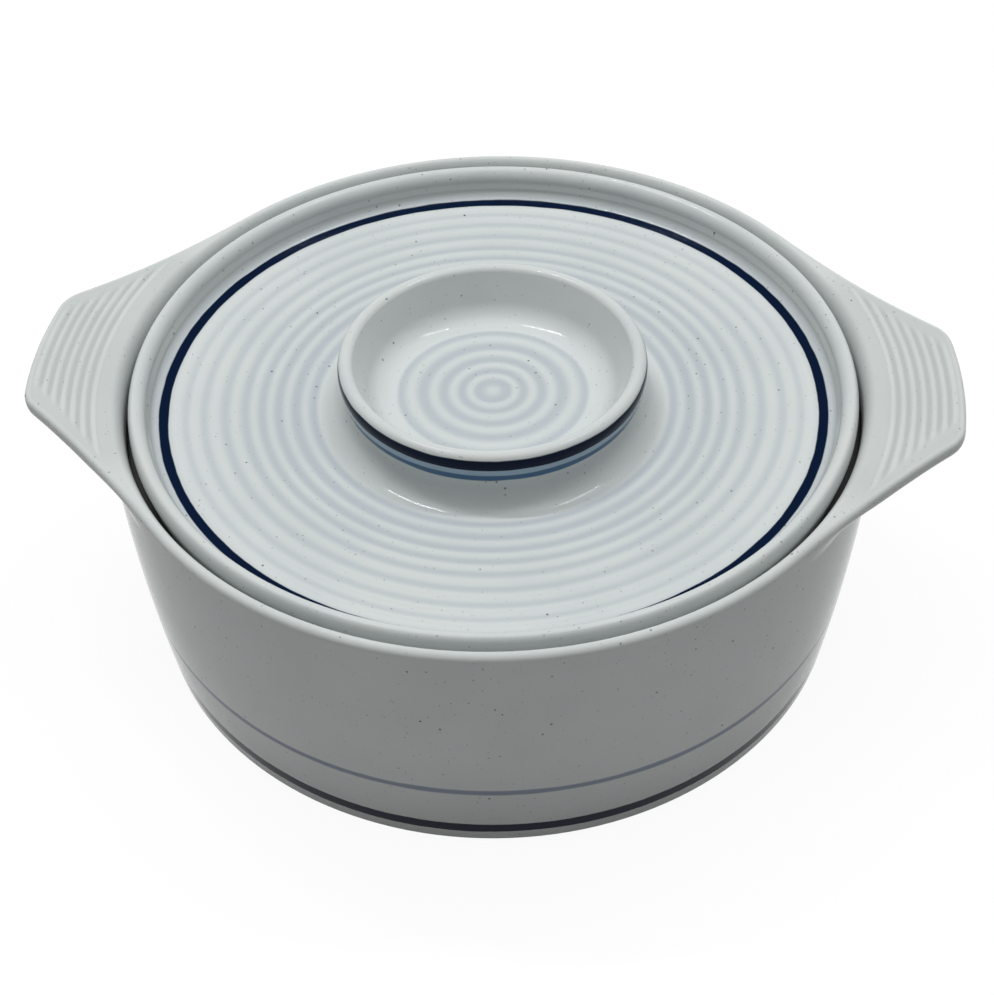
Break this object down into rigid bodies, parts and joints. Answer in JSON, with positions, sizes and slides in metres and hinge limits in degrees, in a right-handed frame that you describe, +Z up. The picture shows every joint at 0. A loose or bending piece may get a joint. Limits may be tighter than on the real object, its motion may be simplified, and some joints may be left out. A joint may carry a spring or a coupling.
{
  "type": "covered casserole",
  "caption": "Round stoneware casserole with grooved lug handles and a sunken ringed lid that rests on a gallery inside the rim and lifts off by a flared ring knob.",
  "frame": {"origin": "on the axis of the pot, on the surface that its foot ring stands on", "axes": "+Z up along the axis of the pot, +X towards the right handle"},
  "size_m": [0.281, 0.232, 0.0937],
  "materials": {
    "glaze": "speckled pale grey satin-gloss stoneware glaze with navy and grey-blue painted lines"
  },
  "bodies": {
    "pot": {"pot_body": "glaze", "right_handle": "glaze", "left_handle": "glaze"},
    "lid": {"lid": "glaze", "lid_knob": "glaze"}
  },
  "joints": [
    {"name": "lid_lift", "type": "slide", "parent": "pot", "child": "lid", "axis": [0, 0, 1], "range_m": [0, 0.15]}
  ]
}
